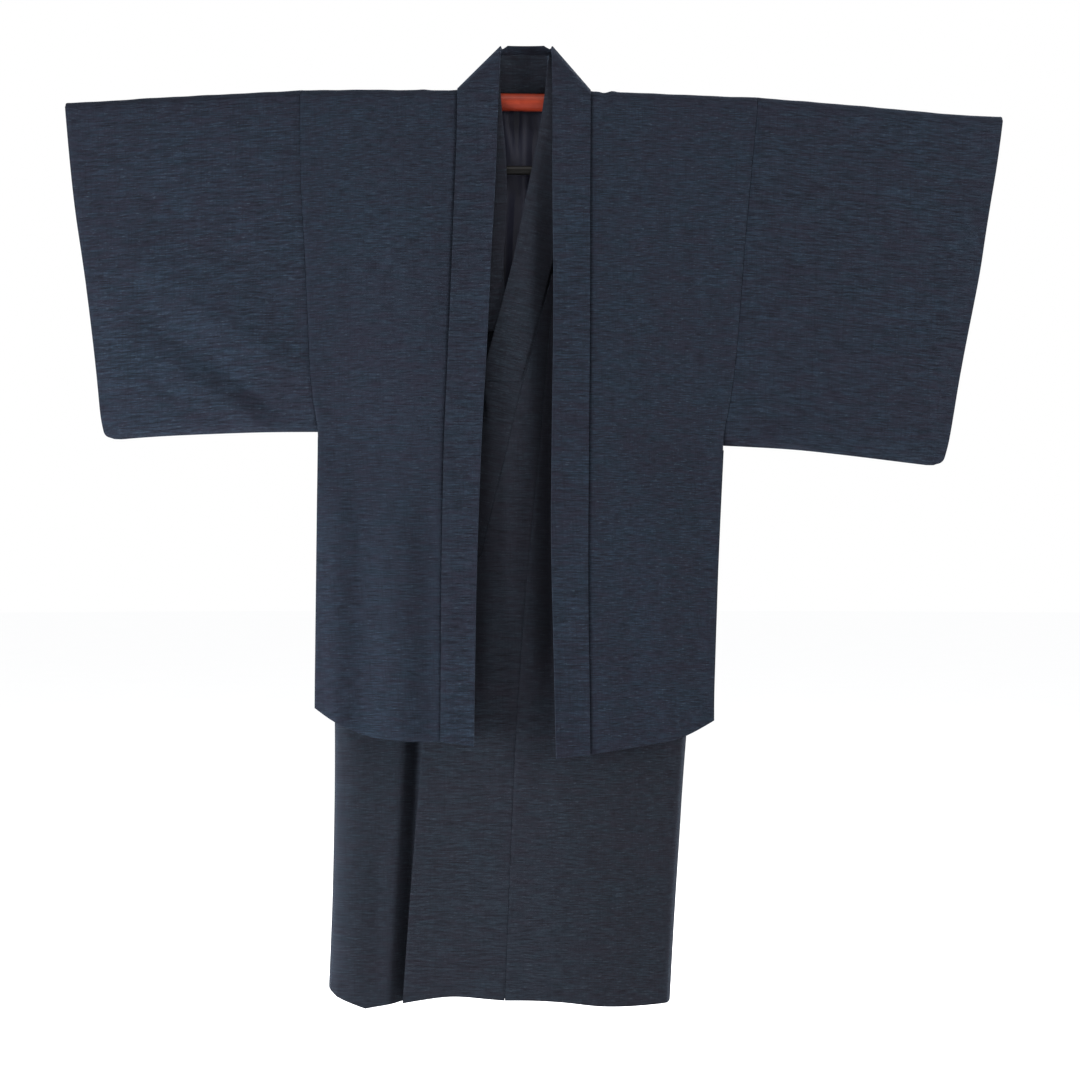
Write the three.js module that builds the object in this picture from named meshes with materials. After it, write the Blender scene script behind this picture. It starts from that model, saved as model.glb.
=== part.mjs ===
// Kimono and haori set hanging on a kimono hanger, in millimetres.
// The origin is on the axis of the hanger's rod, in the middle of the neck opening.
// +X is the viewer's right, +Y runs from the fronts to the backs and +Z is up.
// Sides are the wearer's: the wearer's right is at -X.
import * as THREE from 'three';

// Driving dimensions
const ROD_RADIUS = 12.7;
const CLOTH = 1.6;
const KIMONO_COLLAR = 1.6;
const OVER_COLLAR = 1.0;
const HAORI_COLLAR = 2.0;
const LINING = 1.0;
const SEAM = 0.2;
const SIDE_SEAM = 0.3;
const LYING = 0.3;

// Radius of each garment's cloth, at the middle of its wall, over the rod
const KIMONO_ROUND = 14.7;
const HAORI_ROUND = 16.7;
const ARC_STEPS = [30, 60, 90, 120, 150];

// Lowest points
const KIMONO_HEM = -1300;
const HAORI_BACK_HEM = -886;
const KIMONO_SLEEVE_BOTTOM = -470;
const HAORI_SLEEVE_BOTTOM = -482;
const COLLAR_END = -661;
const OVER_COLLAR_END = { right: -340, left: -400 };

// The kimono's sleeves lie inside the haori's: this far in at the wrist and at the bottom,
// and at this share of the haori's width at the armhole
const SLEEVE_INSET = 8;
const ARMHOLE_SHARE = 0.965;

// Sides of the haori under its sleeves, and a height below all sleeves
const SIDE_TOP = { right: -299, left: 290 };
const BELOW_SLEEVES = -560;

// Heights: the sleeves' slant has died out, the kimono's side turns into its armhole,
// the folds of the skirt and of the haori's back begin, the gusset leaves the upright
const SLANT_END = -630;
const ARMHOLE_TURN = -400;
const SKIRT_FOLDS_FROM = -520;
const HAORI_FOLDS_FROM = -250;
const GUSSET_TURN = -700;

// Shares of the half width at which a panel stands at its full depth
const FULL_DEPTH_AT = { kimono: 0.35, haori: 0.45 };

// Width of the kimono's round side: under the armholes, and where the armhole is open
const SIDE_ROUND = { right: 27, left: 12, open: 60 };

// Height over a hem in which the rows come to follow its line
const HEM_REACH = { kimono: 120, haoriFront: 160, haoriBack: 100 };

// A sleeve's bottom: it narrows to its low width by the first share of its drop,
// closes round below the second, and is this much thinner there and in its shut corner
const BAG = { narrowBy: 0.93, roundBelow: 0.95, thinner: 0.72, shut: 0.5 };

// The over-collar's seam edge, as a share of the collar's width
const OVER_COLLAR_FROM = 0.06;

// Piece of the back lining that the neck opening shows
const LINING_PIECE = { top: -14, bottom: -420, half: 100 };

// A wall's corner is drawn out no further than this sharpness asks
const SHARPEST = 0.45;

// Height of the rod's axis along its droop
const ROD_AXIS = [
  { x: -640, z: -18 },
  { x: -549, z: -10.6 },
  { x: -432, z: -4.3 },
  { x: -325, z: 0.4 },
  { x: -237, z: 1.6 },
  { x: -97, z: 1 },
  { x: 0, z: 0 },
  { x: 97, z: -1 },
  { x: 193, z: -3.8 },
  { x: 340, z: -9.8 },
  { x: 524, z: -25 },
  { x: 664, z: -38 },
];

// How far the cloth hangs from the rod's axis, going down, at the middle of its wall.
// under, over: the kimono's two fronts; kimonoSide: both near its sides; kimonoBack: its back
// haori: the haori's fronts at the collar; side, sideBack: at the gusset; haoriBack: its back
const DEPTH_COLUMNS = [
  'z', 'under', 'over', 'kimonoSide', 'kimonoBack', 'haori', 'side', 'sideBack', 'haoriBack',
];
const DEPTHS = [
  [0, 14.7, 14.7, 14.7, 14.7, 16.7, 16.7, 16.7, 16.7],
  [-57, 14.7, 15.3, 13.7, 14.6, 17.6, 15.9, 15.9, 17],
  [-125, 14.9, 16.8, 12.5, 14.5, 21, 14.8, 14.8, 17.6],
  [-217, 15.5, 20, 10.9, 15, 25.5, 13.5, 13.5, 18.6],
  [-329, 18, 23.2, 8.9, 15.8, 31.5, 11.7, 11.7, 20],
  [-448, 21, 27, 6.8, 17, 39, 9.8, 9.8, 21.6],
  [-482, 22, 28, 7.2, 17.4, 41, 9.8, 9.8, 22],
  [-660, 26.5, 34, 15, 19.5, 53, 24, 19, 26],
  [-930, 33, 42, 27, 22, 70, 45, 30, 33],
  [-1310, 38, 52, 36, 26, 80, 60, 34, 36],
].map((row) => Object.fromEntries(row.map((value, i) => [DEPTH_COLUMNS[i], value])));

// Soft folds that grow down the kimono's skirt: place across, how far they stand out and half width
const UNDER_FOLDS = [
  { x: -232, out: 16, half: 26 },
  { x: -150, out: -5, half: 30 },
];
const OVER_FOLDS = [
  { x: 142, out: 18, half: 55 },
  { x: -112, out: -8, half: 34 },
  { x: 40, out: 5, half: 30 },
];
const BACK_FOLDS = [
  { x: -170, out: 10, half: 45 },
  { x: -60, out: -5, half: 40 },
  { x: 60, out: 11, half: 50 },
  { x: 160, out: -3, half: 30 },
];
const HAORI_BACK_FOLDS = [
  { x: -190, out: 6, half: 45 },
  { x: -20, out: 7, half: 60 },
  { x: 170, out: 5, half: 50 },
];

// Kimono, its front edges from the shoulder down
const OVER_COLLAR_SEAM = [
  { z: 0, x: 95 },
  { z: -217, x: 47.9 },
  { z: -306, x: 25.5 },
  { z: -365, x: 10.7 },
  { z: -412, x: -5.8 },
  { z: -519, x: -29.6 },
  { z: -612, x: -51.3 },
  { z: -661, x: -62.2 },
];
const OVER_FREE_EDGE = [
  { z: 9, x: 30 },
  { z: -50, x: 21 },
  { z: -147, x: 0.5 },
  { z: -236, x: -17.8 },
  { z: -317, x: -39.6 },
  { z: -363, x: -51.5 },
  { z: -412, x: -66 },
  { z: -519, x: -91 },
  { z: -661, x: -123 },
  { z: -720, x: -130 },
  { z: -928, x: -145 },
  { z: -1055, x: -156.6 },
  { z: -1204, x: -167.8 },
  { z: -1300, x: -174.5 },
];
const UNDER_COLLAR_SEAM = [
  { z: 0, x: -95 },
  { z: -217, x: -86 },
  { z: -306, x: -84 },
  { z: -363, x: -76 },
  { z: -456, x: -60 },
  { z: -559, x: -48 },
  { z: -661, x: -38 },
];
const UNDER_FREE_EDGE = [
  { z: 9, x: -34 },
  { z: -60, x: -27 },
  { z: -117, x: -23 },
  { z: -172, x: -25 },
  { z: -230, x: -30 },
  { z: -285, x: -30 },
  { z: -363, x: -18 },
  { z: -456, x: 0 },
  { z: -559, x: 12 },
  { z: -661, x: 22 },
  { z: -1300, x: 33 },
];
const OVER_PANEL_SEAM = [
  { z: -217, x: 47.9 },
  { z: -414, x: 29 },
  { z: -796, x: -4.1 },
  { z: -928, x: -12.6 },
  { z: -1300, x: -27.5 },
];
const UNDER_PANEL_SEAM = [
  { z: -217, x: -86 },
  { z: -414, x: -95 },
  { z: -796, x: -105 },
  { z: -1300, x: -117 },
];

// Sleeve seams of the haori from the shoulder down, and the sides under them
const RIGHT_SLEEVE_SEAM = [
  { z: 19, x: -325 },
  { z: -114, x: -325 },
  { z: -172, x: -321 },
  { z: -289, x: -315 },
  { z: -406, x: -311 },
  { z: -482, x: -299 },
];
const LEFT_SLEEVE_SEAM = [
  { z: -12, x: 339 },
  { z: -102, x: 330 },
  { z: -216, x: 320 },
  { z: -388, x: 308 },
  { z: -441, x: 300 },
  { z: -482, x: 290 },
];
const HAORI_RIGHT_SIDE = [
  { z: -482, x: -299 },
  { z: -890, x: -300.5 },
];
const HAORI_LEFT_SIDE = [
  { z: -482, x: 290 },
  { z: -724, x: 278.5 },
  { z: -890, x: 273.5 },
];
const KIMONO_RIGHT_SIDE = [
  { z: -470, x: -288 },
  { z: -908, x: -273.5 },
  { z: -1074, x: -275.5 },
  { z: -1190, x: -279.3 },
  { z: -1300, x: -283.5 },
];
const KIMONO_LEFT_SIDE = [
  { z: -470, x: 279 },
  { z: -926, x: 234 },
  { z: -1070, x: 226 },
  { z: -1186, x: 218 },
  { z: -1308, x: 211.5 },
];

// Wrist edges of the haori's sleeves
const RIGHT_WRIST = [
  { z: -2, x: -666 },
  { z: -36, x: -664 },
  { z: -141, x: -654 },
  { z: -258, x: -637 },
  { z: -398, x: -621 },
  { z: -473, x: -615 },
  { z: -486, x: -608 },
  { z: -490, x: -597 },
];
const LEFT_WRIST = [
  { z: -23, x: 695 },
  { z: -73, x: 691 },
  { z: -159, x: 675 },
  { z: -245, x: 663 },
  { z: -367, x: 639 },
  { z: -510, x: 616 },
  { z: -521, x: 610 },
  { z: -528, x: 597 },
];
const SLEEVE_BOTTOM = [
  { x: -597, z: -490 },
  { x: -510, z: -484.5 },
  { x: -373, z: -479 },
  { x: -299, z: -479 },
  { x: 290, z: -499 },
  { x: 385, z: -504 },
  { x: 565, z: -525.5 },
  { x: 597, z: -528 },
];

// Haori collar, seam and free edge of each front
const HAORI_RIGHT_BAND = [
  { z: 0, seam: -97, free: -36.7 },
  { z: -50, seam: -97.5, free: -38.7 },
  { z: -106, seam: -99.8, free: -40.6 },
  { z: -161, seam: -102.2, free: -43.6 },
  { z: -217, seam: -104, free: -47.5 },
  { z: -301, seam: -107.2, free: -50.4 },
  { z: -435, seam: -113, free: -58.1 },
  { z: -507, seam: -116, free: -61.9 },
  { z: -626, seam: -117.6, free: -65.7 },
  { z: -703, seam: -118.7, free: -68 },
  { z: -926, seam: -119.1, free: -71.1 },
];
const HAORI_LEFT_BAND = [
  { z: 0, seam: 97, free: 40.9 },
  { z: -161, seam: 96.1, free: 41.9 },
  { z: -301, seam: 96, free: 43.3 },
  { z: -411, seam: 94.8, free: 41.5 },
  { z: -483, seam: 94, free: 40.3 },
  { z: -650, seam: 92.6, free: 38.8 },
  { z: -724, seam: 92.6, free: 41.2 },
  { z: -945, seam: 95.5, free: 47 },
];

// Lower edges, from the viewer's left to right
const KIMONO_FRONT_HEM = [
  { x: -284, z: -1286 },
  { x: -273, z: -1295.5 },
  { x: -252, z: -1305 },
  { x: -225, z: -1314 },
  { x: -194, z: -1307 },
  { x: -171, z: -1303.5 },
  { x: -136, z: -1297.5 },
  { x: -110, z: -1292.5 },
  { x: -75, z: -1295.5 },
  { x: -33, z: -1299 },
  { x: 33, z: -1298 },
  { x: 63, z: -1300.5 },
  { x: 102, z: -1307 },
  { x: 140, z: -1309 },
  { x: 178, z: -1307 },
  { x: 212, z: -1305 },
];
const KIMONO_BACK_HEM = [
  { x: -284, z: -1290 },
  { x: 0, z: -1303 },
  { x: 212, z: -1306 },
];
const HAORI_BACK_HEM_LINE = [
  { x: -300, z: -882 },
  { x: 0, z: -888 },
  { x: 274, z: -893 },
];
const HAORI_FRONT_HEM = [
  { x: -300, z: -880 },
  { x: -292, z: -888 },
  { x: -270, z: -900.5 },
  { x: -225, z: -920 },
  { x: -151, z: -927 },
  { x: -121, z: -925.5 },
  { x: -72, z: -932 },
  { x: 47, z: -949.5 },
  { x: 98, z: -943.7 },
  { x: 166, z: -933 },
  { x: 232, z: -922 },
  { x: 273, z: -898 },
];

// Straight interpolation in a table, between the rows of one column
function read(table, key, column, at) {
  const rows = table[0][key] < table[table.length - 1][key] ? table : [...table].reverse();
  if (at <= rows[0][key]) return rows[0][column];
  for (let i = 1; i < rows.length; i += 1) {
    if (at <= rows[i][key]) {
      const share = (at - rows[i - 1][key]) / (rows[i][key] - rows[i - 1][key]);
      return THREE.MathUtils.lerp(rows[i - 1][column], rows[i][column], share);
    }
  }
  return rows[rows.length - 1][column];
}

const axisHeight = (x) => read(ROD_AXIS, 'x', 'z', x);
const depthOf = (layer, z) => read(DEPTHS, 'z', layer, z);
const mix = THREE.MathUtils.lerp;
const smooth = (value) => THREE.MathUtils.smoothstep(value, 0, 1);
const share = (value, from, to) => THREE.MathUtils.clamp((value - from) / (to - from), 0, 1);

function foldsAt(folds, x, z, start, end) {
  const grown = smooth(share(z, start, end));
  let sum = 0;
  for (const fold of folds) {
    sum += fold.out * Math.exp(-(((x - fold.x) / fold.half) ** 2));
  }
  return grown * sum;
}

// Faces of a mesh under construction, turned outwards at the end
class Faces {
  constructor() {
    this.places = [];
    this.corners = [];
  }

  add(point) {
    this.places.push(point.x, point.y, point.z);
    return this.places.length / 3 - 1;
  }

  triangle(a, b, c) {
    this.corners.push(a, b, c);
  }

  quad(a, b, c, d) {
    this.corners.push(a, b, c, a, c, d);
  }

  volume() {
    const corner = (i) => new THREE.Vector3().fromArray(this.places, 3 * this.corners[i]);
    let sum = 0;
    for (let i = 0; i < this.corners.length; i += 3) {
      sum += corner(i).dot(corner(i + 1).cross(corner(i + 2)));
    }
    return sum / 6;
  }

  geometry() {
    if (this.volume() < 0) {
      this.corners.reverse();
    }
    const geometry = new THREE.BufferGeometry();
    geometry.setAttribute('position', new THREE.Float32BufferAttribute(this.places, 3));
    geometry.setIndex(this.corners);
    geometry.computeVertexNormals();
    return geometry;
  }
}

// Direction square to a grid at a point, longer at a fold so that the wall keeps its thickness
function squareTo(grid, row, column, ringColumns) {
  const columns = grid[0].length;
  const at = (r, c) => grid[r]?.[ringColumns ? (c + columns) % columns : c];
  const centre = at(row, column);
  const faces = [];
  for (const [down, over] of [[1, 1], [-1, 1], [-1, -1], [1, -1]]) {
    const along = at(row + down, column);
    const beside = at(row, column + over);
    if (!along || !beside) continue;
    const face = beside.clone().sub(centre).cross(along.clone().sub(centre)).multiplyScalar(down * over);
    if (face.length() > 1e-6) faces.push(face.normalize());
  }
  const sum = new THREE.Vector3();
  faces.forEach((face) => sum.add(face));
  sum.normalize();
  const nearness = faces.reduce((total, face) => total + face.dot(sum), 0) / faces.length;
  return sum.divideScalar(Math.max(SHARPEST, nearness));
}

function moved(grid, distance, ringColumns = false) {
  return grid.map((line, row) => line.map((point, column) => (
    point.clone().addScaledVector(squareTo(grid, row, column, ringColumns), distance)
  )));
}

// Draws the four edges of a grid in towards their neighbours
function drawnIn(grid, endGap, sideGap) {
  const copy = grid.map((line) => line.map((point) => point.clone()));
  const last = grid.length - 1;
  const end = grid[0].length - 1;
  const pull = (target, from, to, gap) => {
    const way = to.clone().sub(from);
    if (way.length() > 0.01) target.addScaledVector(way.normalize(), gap);
  };
  for (let column = 0; column <= end; column += 1) {
    pull(copy[0][column], grid[0][column], grid[1][column], endGap);
    pull(copy[last][column], grid[last][column], grid[last - 1][column], endGap);
  }
  for (let row = 0; row <= last; row += 1) {
    pull(copy[row][0], grid[row][0], grid[row][1], sideGap);
    pull(copy[row][end], grid[row][end], grid[row][end - 1], sideGap);
  }
  return copy;
}

// A cloth wall of even thickness on both sides of a grid of points
function cloth(grid, thickness, sideGap = SEAM, endGap = SEAM) {
  const middle = drawnIn(grid, endGap, sideGap);
  const faces = new Faces();
  const layers = [thickness / 2, -thickness / 2].map((distance) => (
    moved(middle, distance).map((line) => line.map((point) => faces.add(point)))
  ));
  const [outer, inner] = layers;
  const last = middle.length - 1;
  const end = middle[0].length - 1;
  for (let row = 0; row < last; row += 1) {
    for (let column = 0; column < end; column += 1) {
      const next = column + 1;
      faces.quad(outer[row][column], outer[row][next], outer[row + 1][next], outer[row + 1][column]);
      faces.quad(inner[row][column], inner[row + 1][column], inner[row + 1][next], inner[row][next]);
    }
    faces.quad(outer[row][0], outer[row + 1][0], inner[row + 1][0], inner[row][0]);
    faces.quad(outer[row + 1][end], outer[row][end], inner[row][end], inner[row + 1][end]);
  }
  for (let column = 0; column < end; column += 1) {
    faces.quad(outer[0][column + 1], outer[0][column], inner[0][column], inner[0][column + 1]);
    faces.quad(outer[last][column], outer[last][column + 1], inner[last][column + 1], inner[last][column]);
  }
  return faces.geometry();
}

// A round bar through ring centres, closed at both ends
function bar(centres, radius, sides, ringPlane) {
  const faces = new Faces();
  const rings = centres.map((centre) => {
    const ring = [];
    for (let side = 0; side < sides; side += 1) {
      const angle = (side / sides) * 2 * Math.PI;
      ring.push(faces.add(ringPlane(centre, radius * Math.cos(angle), radius * Math.sin(angle))));
    }
    return ring;
  });
  const last = rings.length - 1;
  for (let side = 0; side < sides; side += 1) {
    const next = (side + 1) % sides;
    for (let row = 0; row < last; row += 1) {
      faces.quad(rings[row][side], rings[row][next], rings[row + 1][next], rings[row + 1][side]);
    }
    if (side > 0 && next > 0) {
      faces.triangle(rings[0][0], rings[0][next], rings[0][side]);
      faces.triangle(rings[last][0], rings[last][side], rings[last][next]);
    }
  }
  return faces.geometry();
}

// Levels of the rows between the rod and the bottom of the sleeves, as shares of that drop.
// The fronts, backs, collars and sleeves of a garment all have their rows on these.
const LEVELS = [1, 0.985, 0.95, 0.85, 0.7, 0.52, 0.4617, 0.4, 0.26, 0.12, 0];
const WRIST_LEVEL = 0.52;

// A sleeve narrows downwards and closes round at its bottom
function sleeveHalf({ round, low }, level) {
  const closing = level > BAG.roundBelow ? BAG.thinner : 1;
  return level === 1 ? 0 : mix(round, low, Math.min(level / BAG.narrowBy, 1)) * closing;
}

const sleeveSeam = (side, z) => read(side < 0 ? RIGHT_SLEEVE_SEAM : LEFT_SLEEVE_SEAM, 'z', 'x', z);
const KIMONO = {
  round: KIMONO_ROUND,
  low: 6.8,
  bottom: KIMONO_SLEEVE_BOTTOM,
  bottomAt: (x) => read(SLEEVE_BOTTOM, 'x', 'z', x) + SLEEVE_INSET + 1,
  neckHalf: 95,
  neckEdge: { 30: 1, 60: 1, 90: 1, 120: 0, 150: 0 },
  seamAt: (side, z) => sleeveSeam(side, z) * ARMHOLE_SHARE,
};
const HAORI = {
  round: HAORI_ROUND,
  low: 9.8,
  bottom: HAORI_SLEEVE_BOTTOM,
  bottomAt: (x) => read(SLEEVE_BOTTOM, 'x', 'z', x),
  neckHalf: 97,
  neckEdge: { 30: 1, 60: 1, 90: 1, 120: 0.6, 150: 0 },
  seamAt: sleeveSeam,
};

// Rows follow the droop of the rod at the top and the slant of the sleeves' bottoms lower down
function settled(garment, x, z) {
  const level = z / garment.bottom;
  const drop = garment.bottomAt(THREE.MathUtils.clamp(x, SIDE_TOP.right, SIDE_TOP.left)) - garment.bottom;
  const fading = level > 1 ? 1 - smooth(share(z, garment.bottom, SLANT_END)) : level;
  return z + Math.max(0, 1 - level) * axisHeight(x) + fading * drop;
}

// Rows near a hem follow the hem line
function hemmed(hemTable, hem, reach, x, z) {
  return z + smooth(share(z, hem + reach, hem)) * (read(hemTable, 'x', 'z', x) - hem);
}

function seamX(garment, side, z) {
  const top = garment.seamAt(side, 0);
  return garment.seamAt(side, settled(garment, top, z));
}

function arcPoint(x, round, degrees) {
  const angle = THREE.MathUtils.degToRad(degrees);
  return new THREE.Vector3(x, -round * Math.cos(angle), axisHeight(x) + round * Math.sin(angle));
}

const upperRows = (garment) => LEVELS.map((level) => level * garment.bottom);
const spread = (from, to, count) => (
  Array.from({ length: count + 1 }, (_, i) => mix(from, to, i / count))
);

// Kimono: a place on its front or back at a level, the side turned round to the side seam
const frontHemmed = (x, z) => hemmed(KIMONO_FRONT_HEM, KIMONO_HEM, HEM_REACH.kimono, x, z);
const backHemmed = (x, z) => hemmed(KIMONO_BACK_HEM, KIMONO_HEM, HEM_REACH.kimono, x, z);
const FRONT_FOLDS = { under: UNDER_FOLDS, over: OVER_FOLDS };

function kimonoEdge(side, z) {
  const line = side < 0 ? KIMONO_RIGHT_SIDE : KIMONO_LEFT_SIDE;
  if (z < KIMONO.bottom) return read(line, 'z', 'x', z);
  const turned = 1 - smooth(share(z, KIMONO.bottom, ARMHOLE_TURN));
  return seamX(KIMONO, side, z) - side * turned * CLOTH / 2;
}

function kimonoDepth(layer, side, x, z) {
  const folds = layer === 'kimonoBack' ? BACK_FOLDS : FRONT_FOLDS[layer];
  const full = depthOf(layer, z) + foldsAt(folds, x, z, SKIRT_FOLDS_FROM, KIMONO_HEM);
  const edge = kimonoEdge(side, z);
  return mix(depthOf('kimonoSide', z), full, smooth(share(x, edge, edge * FULL_DEPTH_AT.kimono)));
}

function kimonoFront(layer, x, z, out = 0) {
  const side = x < 0 ? -1 : 1;
  const low = frontHemmed(x, z);
  const depth = kimonoDepth(layer, side, x, z);
  return new THREE.Vector3(x, -depth - out, settled(KIMONO, x, low));
}

// Shares of the round side, from its flat beginning to the side seam
const ROUND_STEPS = [
  { flat: 0.5, round: 0.866 },
  { flat: 0.134, round: 0.5 },
  { flat: 0, round: 0 },
];
const FLAT_COLUMNS = 5;

function kimonoRow({ inner, side, z, layer, sign, drape }) {
  const outer = kimonoEdge(side, z);
  const armhole = z >= KIMONO.bottom ? sleeveHalf(KIMONO, z / KIMONO.bottom) : 0;
  const open = smooth(share(z, KIMONO.bottom, ARMHOLE_TURN));
  const round = mix(side < 0 ? SIDE_ROUND.right : SIDE_ROUND.left, SIDE_ROUND.open, open);
  const level = (x) => settled(KIMONO, x, drape(x, z));
  const line = spread(inner, outer - side * round, FLAT_COLUMNS).map((x) => (
    new THREE.Vector3(x, sign * kimonoDepth(layer, side, x, z), level(x))
  ));
  for (const step of ROUND_STEPS) {
    const x = outer - side * round * step.flat;
    const turned = mix(step.round, step.flat, open);
    line.push(new THREE.Vector3(x, sign * mix(armhole, kimonoDepth(layer, side, x, z), turned), level(x)));
  }
  return line;
}

const KIMONO_FRONT_ROWS = [
  -1300, -1235, -1150, -1055, -928, -796, -720, -664, COLLAR_END, -612, -559, -510, ...upperRows(KIMONO),
];
const KIMONO_BACK_ROWS = [
  ...upperRows(KIMONO).reverse(), -510, -612, -720, -850, -980, -1150, -1235, -1300,
];
const POINT_LEVEL = -217;

function kimonoBody(side) {
  const under = side < 0;
  const panelSeam = under ? UNDER_PANEL_SEAM : OVER_PANEL_SEAM;
  const collarSeam = under ? UNDER_COLLAR_SEAM : OVER_COLLAR_SEAM;
  const layer = under ? 'under' : 'over';
  const rows = KIMONO_FRONT_ROWS.map((z) => kimonoRow({
    inner: read(z < POINT_LEVEL - 1 ? panelSeam : collarSeam, 'z', 'x', z),
    side,
    z,
    layer,
    sign: -1,
    drape: frontHemmed,
  }));
  const shoulder = rows[rows.length - 1];
  for (const degrees of ARC_STEPS) {
    const inner = side * KIMONO.neckHalf * KIMONO.neckEdge[degrees];
    const outer = shoulder[shoulder.length - 1].x;
    rows.push(spread(inner, outer, shoulder.length - 1).map((x) => arcPoint(x, KIMONO.round, degrees)));
  }
  for (const z of KIMONO_BACK_ROWS) {
    rows.push(kimonoRow({ inner: 0, side, z, layer: 'kimonoBack', sign: 1, drape: backHemmed }));
  }
  return cloth(rows, CLOTH, SIDE_SEAM);
}

// Overlap panels: from the narrow end under the collar down to the hem
const PANEL_COLUMNS = 4;

function kimonoPanel(side) {
  const under = side < 0;
  const seam = under ? UNDER_PANEL_SEAM : OVER_PANEL_SEAM;
  const collarSeam = under ? UNDER_COLLAR_SEAM : OVER_COLLAR_SEAM;
  const free = under ? UNDER_FREE_EDGE : OVER_FREE_EDGE;
  const layer = under ? 'under' : 'over';
  const rows = KIMONO_FRONT_ROWS.filter((z) => z < POINT_LEVEL - 10).map((z) => {
    const edge = read(z >= COLLAR_END ? collarSeam : free, 'z', 'x', z);
    return spread(read(seam, 'z', 'x', z), edge, PANEL_COLUMNS).map((x) => kimonoFront(layer, x, z));
  });
  return cloth(rows, CLOTH);
}

// A collar is a band of sections, each from its seam to its free edge
function bandGrid(sections, from = 0, columns = 3) {
  return sections.map(({ seam, free }) => (
    spread(from, 1, columns).map((across) => seam.clone().lerp(free, across))
  ));
}

// The band round the neck: up from the front, over its slanting fold and along the back.
// Its seam follows the neck edge of the body, and its tip stands where the fold ends.
function neckSections({ garment, side, lift, rise, ridge, front, tip, back }) {
  const out = garment.round + lift;
  const sections = [0, 30, 60, 90].map((degrees) => {
    const climb = Math.sin(THREE.MathUtils.degToRad(degrees));
    const lean = -out * Math.cos(THREE.MathUtils.degToRad(degrees));
    const shift = ridge * smooth(share(degrees, 30, 90));
    const seam = arcPoint(side * (garment.neckHalf - smooth(share(degrees, 60, 90))), out, degrees);
    seam.y += shift;
    seam.z += rise * smooth(share(degrees, 30, 90));
    const free = new THREE.Vector3(mix(front.x, tip.x, climb), lean + shift, mix(front.z, tip.z, climb));
    return { seam, free };
  });
  const edge = [90, 120, 150].map((degrees) => (
    arcPoint(side * garment.neckHalf * garment.neckEdge[degrees], garment.round, degrees)
  ));
  const turning = garment.neckEdge[120] > 0 ? [edge[1], edge[1].clone().lerp(edge[2], 0.5), edge[2]] : [
    edge[0].clone().lerp(edge[1], 0.4), edge[0].clone().lerp(edge[1], 0.7), edge[1],
  ];
  turning.forEach((seam, i) => {
    seam.y += Math.max(lift, 0);
    seam.z += rise;
    const { across, lean, drop } = back.steps[i];
    sections.push({ seam, free: new THREE.Vector3(tip.x * across, back.lean * lean, back.top - drop) });
  });
  return sections;
}

const wholeBand = (right, left) => [...right, ...left.reverse().slice(1)];

function kimonoBandSections(side, lowest) {
  const under = side < 0;
  const layer = under ? 'under' : 'over';
  const lift = -0.2;
  const rows = KIMONO_FRONT_ROWS.filter((z) => z >= lowest && z < 0).map((z) => ({
    seam: kimonoFront(layer, read(under ? UNDER_COLLAR_SEAM : OVER_COLLAR_SEAM, 'z', 'x', z), z, lift),
    free: kimonoFront(layer, read(under ? UNDER_FREE_EDGE : OVER_FREE_EDGE, 'z', 'x', z), z, lift),
  }));
  const neck = neckSections({
    garment: KIMONO,
    side,
    lift,
    rise: 1.2,
    ridge: -0.5,
    front: { x: under ? -34 : 30, z: 8 },
    tip: { x: side * 35, z: 66 },
    back: {
      top: 70.7,
      lean: 9,
      steps: [
        { across: 0.93, lean: 0.4, drop: 1.5 },
        { across: 0.6, lean: 0.75, drop: 0 },
        { across: 0, lean: 1, drop: 0 },
      ],
    },
  });
  return [...rows, ...neck];
}

const kimonoBand = (lowestRight, lowestLeft) => wholeBand(
  kimonoBandSections(-1, lowestRight),
  kimonoBandSections(1, lowestLeft),
);

// Haori
const HAORI_HEM = -930;
const HAORI_FRONT_ROWS = [HAORI_HEM, -885, -800, -703, -626, -550, ...upperRows(HAORI)];
const HAORI_BACK_ROWS = [...upperRows(HAORI).reverse(), -550, -626, -703, -800, HAORI_BACK_HEM];
const HAORI_COLUMNS = 7;
const GUSSET_ROWS = [-490, -550, -626, -703, -800, -885, HAORI_HEM];

function haoriEdge(side, z) {
  const line = side < 0 ? HAORI_RIGHT_SIDE : HAORI_LEFT_SIDE;
  return z >= HAORI.bottom ? seamX(HAORI, side, z) : read(line, 'z', 'x', z);
}

const bandOf = (side) => (side < 0 ? HAORI_RIGHT_BAND : HAORI_LEFT_BAND);

function haoriFront(side, x, z, out = 0) {
  const low = hemmed(HAORI_FRONT_HEM, HAORI_HEM, HEM_REACH.haoriFront, x, z);
  const inward = smooth(share(x, haoriEdge(side, z), read(bandOf(side), 'z', 'seam', z)));
  const depth = mix(depthOf('side', low), depthOf('haori', low), inward);
  return new THREE.Vector3(x, -depth - out, settled(HAORI, x, low));
}

function haoriBack(side, x, z) {
  const low = hemmed(HAORI_BACK_HEM_LINE, HAORI_BACK_HEM, HEM_REACH.haoriBack, x, z);
  const edge = haoriEdge(side, z);
  const folds = foldsAt(HAORI_BACK_FOLDS, x, z, HAORI_FOLDS_FROM, HAORI_BACK_HEM);
  const full = depthOf('haoriBack', low) + folds;
  const depth = mix(depthOf('sideBack', low), full, smooth(share(x, edge, edge * FULL_DEPTH_AT.haori)));
  return new THREE.Vector3(x, depth, settled(HAORI, x, low));
}

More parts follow.
